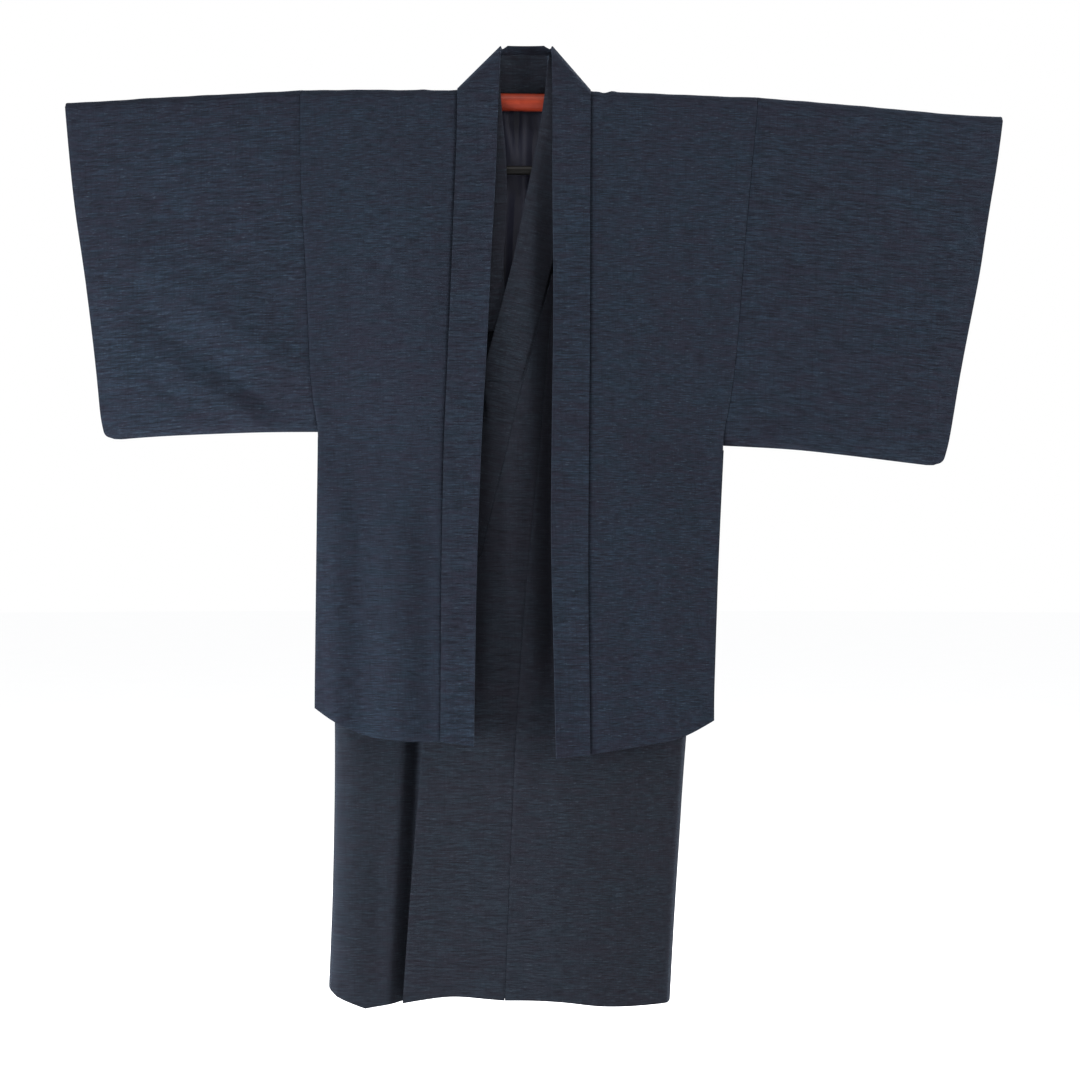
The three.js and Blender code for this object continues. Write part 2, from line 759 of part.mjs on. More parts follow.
function haoriBody(side) {
  const row = (inner, z) => spread(inner, haoriEdge(side, z), HAORI_COLUMNS);
  return cloth([
    ...HAORI_FRONT_ROWS.map((z) => (
      row(read(bandOf(side), 'z', 'seam', z), z).map((x) => haoriFront(side, x, z))
    )),
    ...ARC_STEPS.map((degrees) => (
      row(side * HAORI.neckHalf * HAORI.neckEdge[degrees], 0).map((x) => arcPoint(x, HAORI.round, degrees))
    )),
    ...HAORI_BACK_ROWS.map((z) => row(0, z).map((x) => haoriBack(side, x, z))),
  ], CLOTH);
}

// The gusset stands between the side edges of the front and the back
function haoriGusset(side) {
  const corner = CLOTH / 2 + LYING;
  return cloth(GUSSET_ROWS.map((z) => {
    const backLevel = mix(Math.max(z, GUSSET_TURN), HAORI_BACK_HEM, share(z, GUSSET_TURN, HAORI_HEM));
    const front = haoriFront(side, haoriEdge(side, z), z);
    const back = haoriBack(side, haoriEdge(side, backLevel), backLevel);
    front.y += corner;
    back.y -= corner;
    return spread(0, 1, 3).map((across) => front.clone().lerp(back, across));
  }), CLOTH);
}

function haoriBandSections(side) {
  const lift = 1.6;
  const rows = HAORI_FRONT_ROWS.filter((z) => z < 0).map((z) => {
    const seam = haoriFront(side, read(bandOf(side), 'z', 'seam', z), z, lift);
    const free = haoriFront(side, read(bandOf(side), 'z', 'free', z), z, lift);
    free.y = seam.y;
    return { seam, free };
  });
  const neck = neckSections({
    garment: HAORI,
    side,
    lift,
    rise: 1.6,
    ridge: 2.1,
    front: { x: side < 0 ? -36.7 : 40.9, z: 6 },
    tip: { x: side < 0 ? -33.5 : 40.5, z: 82.3 },
    back: {
      top: 81.5,
      lean: 18,
      steps: [
        { across: 0.93, lean: 0.62, drop: 6 },
        { across: 0.72, lean: 0.85, drop: 0 },
        { across: 0, lean: 1, drop: 0 },
      ],
    },
  });
  return [...rows, ...neck];
}

// A sleeve is one folded cloth: open at the armhole and at the wrist, closed round at its bottom
// and closed at its edge below the wrist opening
const SLEEVE_STEPS = 6;

function sleeve(garment, side, wristAt) {
  const grid = [];
  for (let step = 0; step <= SLEEVE_STEPS; step += 1) {
    const along = step / SLEEVE_STEPS;
    const topX = mix(garment.seamAt(side, 0), wristAt(0), along);
    const sideTop = side < 0 ? SIDE_TOP.right : SIDE_TOP.left;
    const bottomZ = garment.bottomAt(mix(sideTop, wristAt(BELOW_SLEEVES), along));
    const shut = along === 1 ? BAG.shut : 1;
    const place = (level, sign) => {
      const z = mix(axisHeight(topX), bottomZ, level);
      const half = sleeveHalf(garment, level) * (level > WRIST_LEVEL + 0.05 ? shut : 1);
      return new THREE.Vector3(mix(garment.seamAt(side, z), wristAt(z), along), sign * half, z);
    };
    grid.push([
      ...LEVELS.map((level) => place(level, -1)),
      ...ARC_STEPS.map((degrees) => arcPoint(topX, garment.round, degrees)),
      ...[...LEVELS].reverse().slice(0, -1).map((level) => place(level, 1)),
    ]);
  }
  grid[0].forEach((point, i) => {
    point.add(grid[1][i].clone().sub(point).normalize().multiplyScalar(2 * SEAM));
  });
  return bagAround(grid, CLOTH, LEVELS.indexOf(WRIST_LEVEL), side);
}

// A tube of cloth round a grid of ring rows. Its far end is shut below the ring's wrist point.
function bagAround(grid, wall, wrist, side) {
  const faces = new Faces();
  const last = grid.length - 1;
  const around = grid[0].length;
  const outerPoints = moved(grid, -side * wall / 2, true);
  const innerPoints = moved(grid, side * wall / 2, true);
  for (let i = 0; i < around; i += 1) {
    if (Math.min(i, around - i) < wrist) innerPoints[last][i].x -= side * wall;
  }
  const outer = outerPoints.map((line) => line.map((point) => faces.add(point)));
  const inner = innerPoints.map((line) => line.map((point) => faces.add(point)));
  for (let i = 0; i < around; i += 1) {
    const next = (i + 1) % around;
    for (let row = 0; row < last; row += 1) {
      faces.quad(outer[row][i], outer[row + 1][i], outer[row + 1][next], outer[row][next]);
      faces.quad(inner[row][i], inner[row][next], inner[row + 1][next], inner[row + 1][i]);
    }
    faces.quad(outer[0][i], outer[0][next], inner[0][next], inner[0][i]);
    if (i >= wrist && i < around - wrist) {
      faces.quad(outer[last][next], outer[last][i], inner[last][i], inner[last][next]);
    }
  }
  const shutEnd = (ring, pair) => {
    for (let i = 1; i < wrist; i += 1) {
      faces.quad(...pair(ring[i + 1], ring[i], ring[around - i], ring[around - i - 1]));
    }
    faces.triangle(...pair(ring[1], ring[0], ring[around - 1]));
  };
  shutEnd(outer[last], (...corners) => corners);
  shutEnd(inner[last], (...corners) => corners.reverse());
  const across = around - wrist;
  faces.quad(outer[last][wrist], outer[last][across], inner[last][across], inner[last][wrist]);
  return faces.geometry();
}

// Materials
const matte = (name, colour, roughness) => new THREE.MeshStandardMaterial({
  name, color: colour, roughness, metalness: 0,
});
const KIMONO_CLOTH = matte('kimono_cloth', 0x2c3442, 0.85);
const HAORI_CLOTH = matte('haori_cloth', 0x2c3543, 0.85);
const LINING_CLOTH = matte('lining_cloth', 0x232430, 0.5);
const ROD_PAINT = matte('rod_paint', 0xa03c24, 0.45);
const BAR_PAINT = matte('bar_paint', 0x3a3733, 0.4);

const set = new THREE.Group();
set.name = 'kimono_and_haori_set';

function place(name, geometry, material) {
  const mesh = new THREE.Mesh(geometry, material);
  mesh.name = name;
  set.add(mesh);
}

// Hanger
const acrossX = (centre, a, b) => new THREE.Vector3(centre.x, centre.y + a, centre.z + b);
const acrossZ = (centre, a, b) => new THREE.Vector3(centre.x + a, centre.y + b, centre.z);
const BAR_HEIGHT = -99;
const BAR_RADIUS = 6.6;
const BAR_HALF = 150;
const LINK_X = 72;
const LINK_RADIUS = 2.5;
const SIDES = { rod: 24, bar: 16, link: 10 };
const rodCentres = ROD_AXIS.map(({ x, z }) => new THREE.Vector3(x, 0, z));
const barCentres = [-BAR_HALF, BAR_HALF].map((x) => new THREE.Vector3(x, 0, BAR_HEIGHT));
place('hanger_rod', bar(rodCentres, ROD_RADIUS, SIDES.rod, acrossX), ROD_PAINT);
place('hanger_lower_bar', bar(barCentres, BAR_RADIUS, SIDES.bar, acrossX), BAR_PAINT);
for (const [name, side] of [['right', -1], ['left', 1]]) {
  const x = side * LINK_X;
  const top = axisHeight(x) - ROD_RADIUS - LYING;
  const foot = BAR_HEIGHT + BAR_RADIUS + LYING;
  const ends = [foot, top].map((z) => new THREE.Vector3(x, 0, z));
  place(`hanger_link_${name}`, bar(ends, LINK_RADIUS, SIDES.link, acrossZ), BAR_PAINT);
}

// Kimono
place('kimono_body_right', kimonoBody(-1), KIMONO_CLOTH);
place('kimono_body_left', kimonoBody(1), KIMONO_CLOTH);
place('kimono_overlap_right', kimonoPanel(-1), KIMONO_CLOTH);
place('kimono_overlap_left', kimonoPanel(1), KIMONO_CLOTH);
const band = bandGrid(kimonoBand(COLLAR_END, COLLAR_END));
place('kimono_collar', cloth(band, KIMONO_COLLAR), KIMONO_CLOTH);
const overBand = bandGrid(kimonoBand(OVER_COLLAR_END.right, OVER_COLLAR_END.left), OVER_COLLAR_FROM);
const overCollarOut = KIMONO_COLLAR / 2 + 1.5 * LYING + OVER_COLLAR / 2;
place('kimono_over_collar', cloth(moved(overBand, overCollarOut), OVER_COLLAR), KIMONO_CLOTH);

// Lining of the kimono's back, lying inside it
const LINING_COLUMNS = 6;
const liningIn = CLOTH / 2 + 2 * LYING + LINING / 2;
const liningLevels = KIMONO_BACK_ROWS.filter((z) => z < LINING_PIECE.top && z > LINING_PIECE.bottom);
const liningRows = [LINING_PIECE.top, ...liningLevels].map((z) => (
  spread(-LINING_PIECE.half, LINING_PIECE.half, LINING_COLUMNS).map((x) => {
    const depth = kimonoDepth('kimonoBack', x < 0 ? -1 : 1, x, z);
    return new THREE.Vector3(x, depth - liningIn, settled(KIMONO, x, z) - LINING);
  })
));
place('kimono_back_lining', cloth(liningRows, LINING), LINING_CLOTH);

// Haori
place('haori_body_right', haoriBody(-1), HAORI_CLOTH);
place('haori_body_left', haoriBody(1), HAORI_CLOTH);
place('haori_gusset_right', haoriGusset(-1), HAORI_CLOTH);
place('haori_gusset_left', haoriGusset(1), HAORI_CLOTH);
const haoriBand = bandGrid(wholeBand(haoriBandSections(-1), haoriBandSections(1)));
place('haori_collar', cloth(haoriBand, HAORI_COLLAR), HAORI_CLOTH);

// Sleeves, the kimono's inside the haori's
for (const [name, side] of [['right', -1], ['left', 1]]) {
  const wrist = (z) => read(side < 0 ? RIGHT_WRIST : LEFT_WRIST, 'z', 'x', z);
  place(`haori_sleeve_${name}`, sleeve(HAORI, side, wrist), HAORI_CLOTH);
  place(
    `kimono_sleeve_${name}`,
    sleeve(KIMONO, side, (z) => wrist(z - SLEEVE_INSET) - side * SLEEVE_INSET),
    KIMONO_CLOTH,
  );
}

export default set;
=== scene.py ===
# %% [markdown]
# # A kimono and haori on their hanger
# The set hangs as it does for airing: a dark kimono with its fronts crossed, an open haori
# over it, and one painted rod through both pairs of sleeves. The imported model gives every
# panel its place and size. This lesson gives each panel its soft form and its woven finish.

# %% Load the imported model
import math

import bmesh
import bpy
import numpy as np
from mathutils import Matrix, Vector
from mathutils.bvhtree import BVHTree


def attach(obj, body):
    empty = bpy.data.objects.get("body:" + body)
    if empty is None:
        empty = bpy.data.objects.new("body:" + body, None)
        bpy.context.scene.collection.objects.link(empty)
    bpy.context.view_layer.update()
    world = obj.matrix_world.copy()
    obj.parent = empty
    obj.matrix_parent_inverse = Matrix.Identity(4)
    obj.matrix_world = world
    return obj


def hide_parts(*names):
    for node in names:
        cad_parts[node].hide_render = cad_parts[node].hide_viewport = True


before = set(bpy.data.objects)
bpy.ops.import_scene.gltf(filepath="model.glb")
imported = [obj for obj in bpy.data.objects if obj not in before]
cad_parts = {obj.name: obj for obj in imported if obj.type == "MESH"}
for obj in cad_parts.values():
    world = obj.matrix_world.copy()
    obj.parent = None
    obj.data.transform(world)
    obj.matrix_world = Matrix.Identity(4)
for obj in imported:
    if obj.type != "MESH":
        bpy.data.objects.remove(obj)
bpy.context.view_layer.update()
MM = 0.001
print("packed pieces:", len(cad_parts))

# %% [markdown]
# ## Camera
# The set is seen straight from the front, from three and a half metres away, with the lens
# level at the height of its middle. A long lens keeps the sleeves and the hem free of
# distortion.

# %% Camera
VIEW_FROM = Vector((23.3, -3500, -637.4)) * MM
FRAME_WIDTH = 1573.6 * MM
camera_data = bpy.data.cameras.new("front_camera")
camera_data.sensor_width = 36
camera_data.lens = 36 * -VIEW_FROM.y / FRAME_WIDTH
camera = bpy.data.objects.new("front_camera", camera_data)
camera.location = VIEW_FROM
camera.rotation_euler = (math.radians(90), 0, 0)
bpy.context.scene.collection.objects.link(camera)
bpy.context.scene.camera = camera
print("lens in mm:", round(camera_data.lens, 1))

# %% [markdown]
# ## Light and floor
# Dark cloth shows its folds only where the light comes from the side, so a cool soft box
# stands low at the left and a tall one at the right. Weaker ones hang above and behind. A
# white surround fills the shadows, and a pale floor lies below the hem.

# %% Light and floor
FLOOR_LEVEL = -1.62
FLOOR_RADIUS = 30
WHITE = (1.0, 1.0, 1.0)
COOL = (0.9, 0.955, 1.0)
SOFT_BOXES = [
    # name, place, aimed at, width, height, power, colour
    ("left_box", (-2.0, -0.85, -1.2), (-0.3, 0, -0.6), 0.8, 0.7, 205, COOL),
    ("right_box", (3.0, -1.2, -0.2), (0.2, 0, -0.6), 1.0, 1.8, 230, WHITE),
    ("top_box", (-0.2, -1.5, 2.4), (0, 0, -0.6), 2.0, 0.8, 100, WHITE),
    ("back_box", (1.4, 3.0, 1.2), (0, 0, -0.5), 1.8, 1.6, 130, WHITE),
]

bpy.ops.mesh.primitive_circle_add(
    vertices=96, radius=FLOOR_RADIUS, fill_type="NGON", location=(0, 0, FLOOR_LEVEL),
)
floor = bpy.context.object
floor.name = "floor"

world = bpy.data.worlds.new("white_surround")
world.use_nodes = True
world.node_tree.nodes["Background"].inputs["Color"].default_value = (*WHITE, 1)
world.node_tree.nodes["Background"].inputs["Strength"].default_value = 1.0
bpy.context.scene.world = world
bpy.context.scene.view_settings.view_transform = "Standard"

for name, place, target, width, height, power, colour in SOFT_BOXES:
    light = bpy.data.lights.new(name, "AREA")
    light.shape = "RECTANGLE"
    light.size, light.size_y, light.energy = width, height, power
    light.color = colour
    lamp = bpy.data.objects.new(name, light)
    lamp.location = place
    lamp.rotation_euler = (Vector(target) - Vector(place)).to_track_quat("-Z", "Y").to_euler()
    bpy.context.scene.collection.objects.link(lamp)
print("soft boxes:", len(SOFT_BOXES))

# %% [markdown]
# ## Writing shader maths
# A material is a small calculation on numbers that change over the surface. The class below
# wraps one socket, so that the calculation can be written as ordinary Python and each sign
# adds its own Math node.


# %% A socket with arithmetic
class Value:
    def __init__(self, finish, socket):
        self.finish = finish
        self.socket = socket

    def maths(self, operation, *values):
        return self.finish.node("ShaderNodeMath", {"operation": operation}, *values)[0]

    def __add__(self, other):
        return self.maths("ADD", self, other)

    def __mul__(self, other):
        return self.maths("MULTIPLY", self, other)

    def __rsub__(self, other):
        return self.maths("SUBTRACT", other, self)

    def sine(self):
        return self.maths("SINE", self)

    __radd__ = __add__
    __rmul__ = __mul__


# %% [markdown]
# ## A finish under construction
# One method adds any node: it takes the node's type, its settings and what goes into its
# sockets. Shorter methods give the few patterns that all the finishes share.


# %% Finish builder
class Finish:
    def __init__(self, name, **fixed):
        self.material = bpy.data.materials.new(name)
        self.material.use_nodes = True
        self.tree = self.material.node_tree
        self.shader = self.tree.nodes["Principled BSDF"]
        for socket, value in fixed.items():
            self.shader.inputs[socket.replace("_", " ")].default_value = value

    def plug(self, target, value):
        if isinstance(value, Value):
            self.tree.links.new(value.socket, target)
        else:
            target.default_value = value

    def node(self, kind, settings, *values, **named):
        made = self.tree.nodes.new(kind)
        stops = settings.pop("stops", None)
        for key, value in settings.items():
            setattr(made, key, value)
        if stops:
            ramp = made.color_ramp
            while len(ramp.elements) < len(stops):
                ramp.elements.new(1)
            for element, (place, colour) in zip(ramp.elements, stops):
                element.position, element.color = place, colour
        for index, value in enumerate(values):
            self.plug(made.inputs[index], value)
        for socket, value in named.items():
            self.plug(made.inputs[socket.replace("_", " ")], value)
        return [Value(self, socket) for socket in made.outputs]

    def stretched(self, way, across, along, deep=1.0):
        """The given coordinates, in pattern steps a metre each way."""
        return self.node("ShaderNodeVectorMath", {"operation": "MULTIPLY"}, way, (across, along, deep))[0]

    def noise(self, vector, detail=2.0, roughness=0.5, scale=1.0):
        return self.node(
            "ShaderNodeTexNoise", {}, Vector=vector, Scale=scale, Detail=detail, Roughness=roughness,
        )[0]

    def ramp(self, value, *stops):
        grey = [(place, (level, level, level, 1)) for place, level in stops]
        return self.node("ShaderNodeValToRGB", {"stops": grey}, value)[0]

    def mixed(self, share, first, second):
        made = self.tree.nodes.new("ShaderNodeMix")
        made.data_type = "RGBA"
        for socket, value in (("Factor_Float", share), ("A_Color", first), ("B_Color", second)):
            self.plug(next(s for s in made.inputs if s.identifier == socket), value)
        return Value(self, next(s for s in made.outputs if s.identifier == "Result_Color"))

    def wear(self, colour, roughness, height=None, depth=0.0005, strength=0.5):
        self.plug(self.shader.inputs["Base Color"], colour)
        self.plug(self.shader.inputs["Roughness"], roughness)
        if height is not None:
            bump = self.node("ShaderNodeBump", {}, Strength=strength, Distance=depth, Height=height)[0]
            self.plug(self.shader.inputs["Normal"], bump)
        return self.material


# %% Floor finish
paper = Finish("pale_floor", Specular_IOR_Level=0.0, Roughness=1.0)
grain = paper.noise(paper.node("ShaderNodeTexCoord", {})[3], scale=3.0)
paper_colour = paper.mixed(grain, (0.97, 0.975, 0.98, 1), (0.985, 0.985, 0.99, 1))
floor.data.materials.append(paper.wear(paper_colour, 1.0))
print("floor finish:", floor.data.materials[0].name)

# %% [markdown]
# ## The slubbed cloth
# Both garments are cut from plain weave with uneven, hand-spun weft. The yarn swells and
# thins, so short streaks of teal, grey and near-black run from side to side over the dark
# navy ground. The pattern follows the cloth's own coordinates, stored on each panel: the
# first number runs along the weft and the second along the warp.

# %% Slubbed cloth
WARP_THREADS = 1500
WEFT_THREADS = 1300
# Steps a metre across the cloth and along it. The third number picks a slice of the noise.
CLOUD = (6, 9)
PATCH = (30, 110, 2)
SLUB = (52, 640)
SHORT_SLUB = (130, 660, 3)
WARP = (560, 26)
# Painted shade on the kimono's chest under the coat: place in metres, then its share
SHADE_DOWN = ((0.0, 0.5), (0.3, 1), (0.76, 1), (0.88, 0))
SHADE_ACROSS = (
    (0.08, 0), (0.13, 0.6), (0.165, 0.6), (0.19, 0.1), (0.24, 0.1), (0.275, 0.45), (0.3, 0.45), (0.38, 0),
)
SHADE_FROM = 0.2


def slubbed_cloth(name, purple, teal, lit, glint, dark, shade_mask=None):
    finish = Finish(
        name, Sheen_Weight=0.05, Sheen_Roughness=0.4, Sheen_Tint=(0.5, 0.68, 1.0, 1), Specular_IOR_Level=0.04,
    )
    way = finish.node("ShaderNodeAttribute", {"attribute_name": "weave"})[1]
    cloud = finish.noise(finish.stretched(way, *CLOUD), detail=3, roughness=0.6)
    patch = finish.noise(finish.stretched(way, *PATCH), detail=4, roughness=0.7)
    slub = finish.noise(finish.stretched(way, *SLUB), detail=4, roughness=0.72)
    short = finish.noise(finish.stretched(way, *SHORT_SLUB), detail=2, roughness=0.6)
    warp = finish.noise(finish.stretched(way, *WARP), detail=2, roughness=0.6)
    colour = finish.mixed(finish.ramp(patch * 0.65 + cloud * 0.35, (0.4, 0), (0.62, 1)), purple, teal)
    streaks = finish.ramp(slub, (0.5, 0), (0.63, 1))
    where_lit = finish.ramp(patch * 0.5 + cloud * 0.5, (0.38, 0.3), (0.6, 1))
    colour = finish.mixed(streaks * where_lit, colour, lit)
    colour = finish.mixed(finish.ramp(slub, (0.35, 0.9), (0.48, 0)), colour, dark)
    colour = finish.mixed(finish.ramp(short * 0.8 + slub * 0.2, (0.6, 0), (0.7, 0.65)), colour, glint)
    colour = finish.mixed(finish.ramp(warp, (0.32, 0.3), (0.5, 0)), colour, dark)
    # painted shade: the kimono's chest under the coat is mixed towards the dark colour
    if shade_mask:
        colour = finish.mixed(shade_mask(finish), colour, dark)
    across, along = finish.node("ShaderNodeSeparateXYZ", {}, way)[:2]
    weft = (along * (WEFT_THREADS * 2 * math.pi)).sine()
    threads = (across * (WARP_THREADS * 2 * math.pi)).sine() * weft
    height = threads * 0.3 + slub * 1.4 + short * 0.6
    return finish.wear(colour, 0.92 - streaks * 0.12, height, depth=0.0005, strength=0.5)


def painted_shade_under_coat(finish):
    """Painted shade: the kimono's chest is darkened where the coat's fronts shade it."""
    x, _, z = finish.node("ShaderNodeSeparateXYZ", {}, finish.node("ShaderNodeTexCoord", {})[3])
    down = finish.ramp(z * -1.0, *SHADE_DOWN)
    return down * finish.ramp(x * -1.0 + SHADE_FROM, *SHADE_ACROSS)


# the kimono's cloth takes painted shade on its chest
KIMONO_CLOTH = slubbed_cloth(
    "kimono_slubbed_cloth", (0.0058, 0.0057, 0.0082, 1), (0.0048, 0.0063, 0.0088, 1),
    (0.0075, 0.0103, 0.0143, 1), (0.017, 0.021, 0.027, 1), (0.0030, 0.0029, 0.0042, 1), painted_shade_under_coat,
)
HAORI_CLOTH = slubbed_cloth(
    "haori_slubbed_cloth", (0.0059, 0.0060, 0.0096, 1), (0.0046, 0.0070, 0.0106, 1),
    (0.0079, 0.0119, 0.0188, 1), (0.018, 0.025, 0.034, 1), (0.0024, 0.0026, 0.0043, 1),
)
print("cloth finishes:", KIMONO_CLOTH.name, HAORI_CLOTH.name)

# %% [markdown]
# ## The lining
# Both garments are lined with thin dark silk. It is smoother than the cloth, so it needs a
# soft sheen, a faint crosswise rib and a little change in colour.

# %% Lining silk
silk = Finish("lining_silk", Sheen_Weight=0.04, Sheen_Roughness=0.3, Specular_IOR_Level=0.15)
silk_way = silk.node("ShaderNodeAttribute", {"attribute_name": "weave"})[1]
rib = silk.noise(silk.stretched(silk_way, 60, 2200), detail=2)
cloud = silk.noise(silk.stretched(silk_way, 9, 7), detail=3)
silk_colour = silk.mixed(
    silk.ramp(cloud, (0.35, 0), (0.7, 1)), (0.0042, 0.0044, 0.0078, 1), (0.0115, 0.0120, 0.0205, 1),
)
LINING_SILK = silk.wear(silk_colour, cloud * 0.2 + 0.42, rib * 0.6 + cloud, depth=0.0003, strength=0.3)

# %% [markdown]
# ## The painted hanger
# The rod is vermilion lacquer with brush marks along its length, dulled where sleeves slide
# over it, and its lower side is painted deeper as shade. The lower bar is dark brown.


# %% Hanger paints
def rod_lacquer(name, light, deep, roughness):
    finish = Finish(name, Specular_IOR_Level=0.08)
    place = finish.node("ShaderNodeTexCoord", {})[3]
    brushed = finish.noise(finish.stretched(place, 9, 420, 420), detail=3)
    worn = finish.noise(finish.stretched(place, 60, 90, 90), detail=4)
    colour = finish.mixed(finish.ramp(brushed * 0.5 + worn * 0.5, (0.35, 0), (0.65, 1)), deep, light)
    # painted shade: everything below the rod's middle height takes the deeper colour
    height = finish.node("ShaderNodeSeparateXYZ", {}, place)[2]
    colour = finish.mixed(finish.ramp(height * 30.0 + 0.5, (0.2, 0), (0.5, 1)), deep, colour)
    return finish.wear(colour, worn * 0.25 + roughness, brushed, depth=0.0002, strength=0.25)


ROD_PAINT = rod_lacquer("vermilion_lacquer", (0.106, 0.0130, 0.0048, 1), (0.068, 0.0070, 0.0026, 1), 0.36)
BAR_PAINT = rod_lacquer("dark_bar_paint", (0.0048, 0.0044, 0.0040, 1), (0.0028, 0.0026, 0.0024, 1), 0.34)

# %% [markdown]
# ## The folds
# A hung garment isn't flat. The sleeves pull small slanting creases up from each armhole,
# the fronts swing out in broad soft ridges and the hems waver. Each fold is a line with a
# depth and a half width, and fades towards both of its ends. Every layer that lies on another
# takes the same fold, so that no collar leaves its panel.

# %% Fold tables, in millimetres
# from x, from z, to x, to z, stands out by, half width
FRONT_CREASES = [
    (-572, -300, -326, -468, -4.6, 19),
    (-470, -352, -372, -446, -1.8, 9),
    (-545, -368, -372, -476, 4.2, 17),
    (-500, -280, -322, -400, 3.6, 20),
    (-610, -190, -470, -290, 4.8, 34),
    (-440, -180, -340, -330, -2.4, 24),
    (-640, -120, -560, -430, 1.6, 26),
    (-330, -330, -290, -480, 1.8, 12),
    (-420, -60, -360, -300, -1.3, 34),
    (500, -376, 318, -484, -4.8, 16),
    (510, -345, 322, -446, 4.6, 17),
    (600, -300, 420, -360, -3.4, 22),
    (480, -200, 360, -330, 2.6, 30),
    (560, -430, 350, -500, 1.8, 16),
    (640, -110, 590, -470, 1.8, 28),
    (300, -380, 262, -520, 1.8, 16),
    (420, -70, 380, -300, 1.4, 36),
    (250, -180, 180, -330, 1.6, 34),
    (-215, -160, -250, -330, -1.5, 34),
    (-150, -60, -190, -240, 1.2, 30),
]
HAORI_CREASES = [
    (-268, -440, -270, -980, 11.5, 25),
    (-184, -400, -176, -1000, 12.0, 60),
    (-140, -500, -138, -980, -9.0, 24),
    (-205, -640, -190, -800, 2.4, 22),
    (-225, -520, -150, -640, -2.4, 16),
    (210, -480, 206, -980, 9.0, 42),
    (160, -600, 168, -950, -2.6, 32),
    (200, -560, 128, -700, 1.6, 20),
    (110, -780, 150, -960, 2.2, 24),
]
CHEST_CREASES = [
    (43, -50, 43, -900, -17.0, 23),
    (-66, -330, -76, -880, -7.0, 17),
    (-18, -430, -26, -760, 3.0, 18),
]
UNDER_HOLLOWS = [
    (-42, -120, -64, -450, -8.5, 24),
    (-144, -720, -178, -1400, -13.0, 13),
]
LINING_CREASES = [
    (-34, 0, -14, -84, 5.0, 6),
    (-10, 12, -12, -80, -3.5, 5),
    (2, 0, 0, -130, 4.0, 6),
    (-26, -105, -30, -290, 7.0, 7),
    (-8, -110, -16, -300, -4.0, 6),
    (18, -10, 14, -240, -3.0, 8),
]
KIMONO_CREASES = [
    (70, -880, 40, -1310, 2.4, 24),
    (120, -1000, 128, -1320, -2.6, 20),
    (185, -930, 200, -1320, 2.2, 18),
    (-40, -960, -70, -1320, -1.8, 22),
    (-240, -900, -248, -1300, 2.4, 18),
    (-205, -1050, -214, -1320, -2.4, 14),
    (-20, -480, 20, -760, -1.6, 26),
    (150, -800, 90, -980, 1.4, 26),
]
BACK_CREASES = [
    (-540, -320, -330, -465, -3.0, 14),
    (-520, -270, -320, -410, 2.2, 18),
    (520, -340, 322, -480, -3.0, 14),
    (560, -300, 318, -430, 2.0, 18),
    (-600, -120, -570, -440, 1.8, 28),
    (620, -130, 590, -480, 1.8, 28),
    (-90, -60, -150, -330, 1.8, 30),
    (100, -60, 160, -330, 1.8, 30),
    (-250, -180, -220, -420, -1.6, 32),
    (250, -180, 225, -420, -1.6, 32),
]
BACK_SKIRT_CREASES = [
    (-110, -520, -95, -1320, 3.0, 26),
    (-215, -560, -225, -1320, -2.8, 24),
    (30, -600, 20, -1320, -2.6, 26),
    (120, -520, 108, -1320, 3.0, 26),
    (215, -600, 190, -1320, -2.0, 22),
]


def smooth(value):
    value = np.clip(value, 0, 1)
    return value * value * (3 - 2 * value)


def raised(creases, x, z):
    """How far the creases lift the cloth at places given in millimetres."""
    height = np.zeros_like(x)
    for x0, z0, x1, z1, out, half in creases:
        way = np.array((x1 - x0, z1 - z0), float)
        length = np.hypot(*way)
        way /= length
        along = ((x - x0) * way[0] + (z - z0) * way[1]) / length
        beside = (x - x0) * way[1] - (z - z0) * way[0]
        fading = smooth(along / 0.35 + 0.2) * smooth((1.12 - along) / 0.3)
        height += out * np.exp(-((beside / half) ** 2)) * fading
    return height


# %% [markdown]
# ## Waviness
# Between the creases the cloth is never quite even. A few slow waves at odd angles, always
# the same ones, stand for the many small pulls of the weave. The shoulders ripple a little,
# and the two halves of each back are drawn together at their centre seam.


# %% Slow waves
WAVES = ((330, 1.0), (210, 0.7), (128, 0.45), (74, 0.22), (47, 0.12))  # length, height
WAVE_TURN = 2.399
CROSS_TURN = 0.7
SKIRT_LEVEL = -500
CALMER = 0.6
SHOULDER_DENTS = ((116, -1.6, 6), (129, 1.8, 6), (-146, 1.0, 8))  # x, height, half width
SEAM_CLOSES = 0.32
SEAM_REACH = 30


def wavering(x, z, turn):
    waves = 0
    for index, (length, height) in enumerate(WAVES):
        angle = turn + WAVE_TURN * index
        slanted = x * math.cos(angle) + z * math.sin(angle)
        crossed = x * math.sin(angle + CROSS_TURN) - z * math.cos(angle + CROSS_TURN)
        lengthwise = np.sin(2 * math.pi * slanted / length + 3 * index)
        waves = waves + height * lengthwise * np.cos(math.pi * crossed / length)
    return waves


